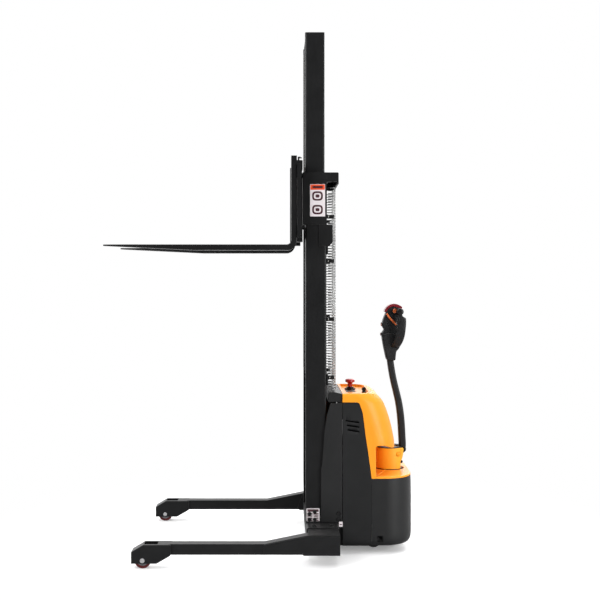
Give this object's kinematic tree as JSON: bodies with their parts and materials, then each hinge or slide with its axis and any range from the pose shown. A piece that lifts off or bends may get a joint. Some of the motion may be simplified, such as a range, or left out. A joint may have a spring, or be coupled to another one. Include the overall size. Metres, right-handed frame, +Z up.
{
  "type": "walkie stacker",
  "caption": "Powered pedestrian straddle stacker: adjustable straddle legs, telescopic chain-lift mast, fork carriage, battery body and a steered drive unit with tiller.",
  "frame": {"origin": "on the floor, under the centre of the overall footprint", "axes": "+Z up; forks point to -X, tiller at +X; machine's left side (operator facing the forks) is -Y"},
  "size_m": [1.91, 1.266, 3.232],
  "materials": {
    "frame_black": "satin black powder coat",
    "mast_black": "satin black paint on rolled section",
    "fork_black": "satin black paint on forged steel",
    "cylinder_black": "gloss black enamel",
    "zinc_steel": "zinc plated",
    "bright_steel": "ground steel",
    "roller_steel": "turned steel, oiled",
    "bearing_steel": "turned steel",
    "chain_steel": "oiled leaf chain",
    "hub_steel": "machined casting",
    "chrome_rod": "hard chrome",
    "guard_zinc": "bright zinc plated wire",
    "red_polyurethane": "moulded polyurethane tread",
    "drive_tyre": "dark polyurethane tread",
    "nylon": "machined nylon",
    "cover_grey": "dark grey moulded cover, fine grain",
    "cover_black": "black moulded cover, fine grain",
    "hood_orange": "glossy orange-yellow moulding",
    "black_plastic": "black moulded plastic",
    "head_plastic": "dark grey glass-filled nylon",
    "red_plastic": "glossy red moulding",
    "orange_plastic": "glossy orange moulding",
    "arm_black": "satin black paint on box tube",
    "battery_case": "moulded battery case",
    "pump_steel": "painted tank and motor",
    "controller_alloy": "finned heat sink",
    "hose_rubber": "braided hydraulic hose",
    "gearbox_iron": "painted casting",
    "motor_black": "finned motor shell"
  },
  "bodies": {
    "chassis": {"chassis_frame": "frame_black", "frame_bolts": "frame_black", "outer_mast": "mast_black", "mast_wear_pads": "nylon", "lift_cylinder_barrels": "cylinder_black", "lift_chain_rear": "chain_steel", "mast_guard": "guard_zinc", "rear_cover": "cover_grey", "hood_cover": "hood_orange", "side_cover_left": "cover_grey", "side_cover_right": "cover_grey", "battery_shrouds": "cover_black", "hood_front_bezel": "cover_black", "instrument_tray": "hood_orange", "switch_collars_and_gauge": "black_plastic", "battery_pack": "battery_case", "hydraulic_power_pack": "pump_steel", "motor_controller": "controller_alloy", "hydraulic_hose": "hose_rubber", "slew_bearing_ring": "bearing_steel"},
    "leg_left": {"straddle_leg_left": "frame_black", "load_axle_left": "bright_steel"},
    "leg_right": {"straddle_leg_right": "frame_black", "load_axle_right": "bright_steel"},
    "load_wheel_left": {"load_wheel_hub_left": "hub_steel", "load_wheel_tyre_left": "red_polyurethane"},
    "load_wheel_right": {"load_wheel_hub_right": "hub_steel", "load_wheel_tyre_right": "red_polyurethane"},
    "inner_mast": {"inner_mast": "mast_black", "lift_piston_rods": "chrome_rod", "lift_chain_front": "chain_steel"},
    "mast_rollers": {"mast_rollers": "roller_steel"},
    "chain_pulleys": {"chain_pulleys": "roller_steel"},
    "carriage": {"fork_carriage": "mast_black"},
    "carriage_rollers_lower": {"carriage_rollers_lower": "roller_steel"},
    "carriage_rollers_upper": {"carriage_rollers_upper": "roller_steel"},
    "fork_left": {"fork_left": "fork_black"},
    "fork_right": {"fork_right": "fork_black"},
    "fork_latch_left": {"fork_latch_left": "frame_black"},
    "fork_latch_right": {"fork_latch_right": "frame_black"},
    "emergency_stop": {"emergency_stop_button": "red_plastic"},
    "key": {"key": "black_plastic"},
    "drive_unit": {"drive_gearbox": "gearbox_iron", "drive_motor": "motor_black", "tiller_base": "hood_orange", "tiller_base_trim": "black_plastic", "tiller_pivot_pin": "bright_steel"},
    "drive_wheel": {"drive_wheel_hub": "hub_steel", "drive_wheel_tyre": "drive_tyre"},
    "tiller": {"tiller_arm": "arm_black", "tiller_head": "head_plastic"},
    "belly_button": {"belly_button": "red_plastic"},
    "throttle": {"throttle_butterfly": "orange_plastic"},
    "lift_button": {"lift_button": "orange_plastic"},
    "lower_button": {"lower_button": "orange_plastic"},
    "horn_button": {"horn_button": "black_plastic"},
    "caster_left": {"caster_fork_left": "zinc_steel"},
    "caster_right": {"caster_fork_right": "zinc_steel"},
    "caster_wheel_left": {"caster_wheel_left": "drive_tyre"},
    "caster_wheel_right": {"caster_wheel_right": "drive_tyre"}
  },
  "joints": [
    {"name": "leg_left_width", "type": "slide", "parent": "chassis", "child": "leg_left", "axis": [0, 1, 0], "range_m": [0, 0.1]},
    {"name": "leg_right_width", "type": "slide", "parent": "chassis", "child": "leg_right", "axis": [0, -1, 0], "range_m": [0, 0.1]},
    {"name": "load_wheel_left_spin", "type": "hinge", "parent": "leg_left", "child": "load_wheel_left", "pos_m": [-0.678, -0.58, 0.05], "axis": [0, 1, 0], "continuous": true},
    {"name": "load_wheel_right_spin", "type": "hinge", "parent": "leg_right", "child": "load_wheel_right", "pos_m": [-0.678, 0.58, 0.05], "axis": [0, 1, 0], "continuous": true},
    {"name": "mast_lift", "type": "slide", "parent": "chassis", "child": "inner_mast", "axis": [0, 0, 1], "range_m": [-0.908, 0.6], "deforming": ["lift_chain_rear"]},
    {"name": "carriage_lift", "type": "slide", "parent": "inner_mast", "child": "carriage", "axis": [0, 0, 1], "range_m": [-0.908, 0.6], "deforming": ["lift_chain_front"]},
    {"name": "mast_roller_spin", "type": "hinge", "parent": "inner_mast", "child": "mast_rollers", "pos_m": [0.3495, 0, 1.172], "axis": [0, 1, 0], "range_deg": [-1010, 1010]},
    {"name": "chain_pulley_spin", "type": "hinge", "parent": "inner_mast", "child": "chain_pulleys", "pos_m": [0.332, 0, 3.165], "axis": [0, 1, 0], "range_deg": [-1200, 1200]},
    {"name": "carriage_roller_lower_spin", "type": "hinge", "parent": "carriage", "child": "carriage_rollers_lower", "pos_m": [0.344, 0, 2.08], "axis": [0, 1, 0], "range_deg": [-1060, 1060]},
    {"name": "carriage_roller_upper_spin", "type": "hinge", "parent": "carriage", "child": "carriage_rollers_upper", "pos_m": [0.344, 0, 2.362], "axis": [0, 1, 0], "range_deg": [-1060, 1060]},
    {"name": "fork_left_shift", "type": "slide", "parent": "carriage", "child": "fork_left", "axis": [0, 1, 0], "range_m": [0, 0.245]},
    {"name": "fork_right_shift", "type": "slide", "parent": "carriage", "child": "fork_right", "axis": [0, -1, 0], "range_m": [0, 0.245]},
    {"name": "fork_latch_left_drop", "type": "slide", "parent": "fork_left", "child": "fork_latch_left", "axis": [0, 0, -1], "range_m": [0, 0.01], "stiffness_N_per_m": 400, "springref_m": -0.005},
    {"name": "fork_latch_right_drop", "type": "slide", "parent": "fork_right", "child": "fork_latch_right", "axis": [0, 0, -1], "range_m": [0, 0.01], "stiffness_N_per_m": 400, "springref_m": -0.005},
    {"name": "emergency_stop_press", "type": "slide", "parent": "chassis", "child": "emergency_stop", "axis": [0, 0, -1], "range_m": [0, 0.006], "stiffness_N_per_m": 800, "springref_m": -0.002},
    {"name": "key_turn", "type": "hinge", "parent": "chassis", "child": "key", "pos_m": [0.662, -0.1, 0.99], "axis": [0, 0, -1], "range_deg": [0, 90]},
    {"name": "steer", "type": "hinge", "parent": "chassis", "child": "drive_unit", "pos_m": [0.833, 0, 0.43], "axis": [0, 0, 1], "range_deg": [-90, 90]},
    {"name": "drive_wheel_spin", "type": "hinge", "parent": "drive_unit", "child": "drive_wheel", "pos_m": [0.833, 0, 0.105], "axis": [0, 1, 0], "continuous": true},
    {"name": "tiller_tilt", "type": "hinge", "parent": "drive_unit", "child": "tiller", "pos_m": [0.898, 0, 0.575], "axis": [0, 1, 0], "range_deg": [0, 77]},
    {"name": "belly_button_press", "type": "slide", "parent": "tiller", "child": "belly_button", "axis": [0, 0, -1], "range_m": [0, 0.006], "stiffness_N_per_m": 600, "springref_m": -0.002},
    {"name": "throttle_turn", "type": "hinge", "parent": "tiller", "child": "throttle", "pos_m": [0.855, 0, 1.456], "axis": [0, 1, 0], "range_deg": [-15, 15], "stiffness_Nm_per_rad": 1.5},
    {"name": "lift_button_press", "type": "slide", "parent": "tiller", "child": "lift_button", "axis": [1, 0, 0], "range_m": [0, 0.004], "stiffness_N_per_m": 500, "springref_m": -0.002},
    {"name": "lower_button_press", "type": "slide", "parent": "tiller", "child": "lower_button", "axis": [1, 0, 0], "range_m": [0, 0.004], "stiffness_N_per_m": 500, "springref_m": -0.002},
    {"name": "horn_button_press", "type": "slide", "parent": "tiller", "child": "horn_button", "axis": [1, 0, 0], "range_m": [0, 0.004], "stiffness_N_per_m": 500, "springref_m": -0.002},
    {"name": "caster_left_swivel", "type": "hinge", "parent": "chassis", "child": "caster_left", "pos_m": [0.69, -0.134, 0.15], "axis": [0, 0, 1], "continuous": true},
    {"name": "caster_right_swivel", "type": "hinge", "parent": "chassis", "child": "caster_right", "pos_m": [0.69, 0.134, 0.15], "axis": [0, 0, 1], "continuous": true},
    {"name": "caster_wheel_left_spin", "type": "hinge", "parent": "caster_left", "child": "caster_wheel_left", "pos_m": [0.718, -0.134, 0.05], "axis": [0, 1, 0], "continuous": true},
    {"name": "caster_wheel_right_spin", "type": "hinge", "parent": "caster_right", "child": "caster_wheel_right", "pos_m": [0.718, 0.134, 0.05], "axis": [0, 1, 0], "continuous": true}
  ],
  "couplings": [
    {"joint": "carriage_lift", "follows": "mast_lift", "ratio": 1},
    {"joint": "mast_roller_spin", "follows": "mast_lift", "rad_per_m": -19.231},
    {"joint": "carriage_roller_lower_spin", "follows": "mast_lift", "rad_per_m": -20.161},
    {"joint": "carriage_roller_upper_spin", "follows": "mast_lift", "rad_per_m": 20.161},
    {"joint": "chain_pulley_spin", "follows": "mast_lift", "rad_per_m": 22.222}
  ]
}
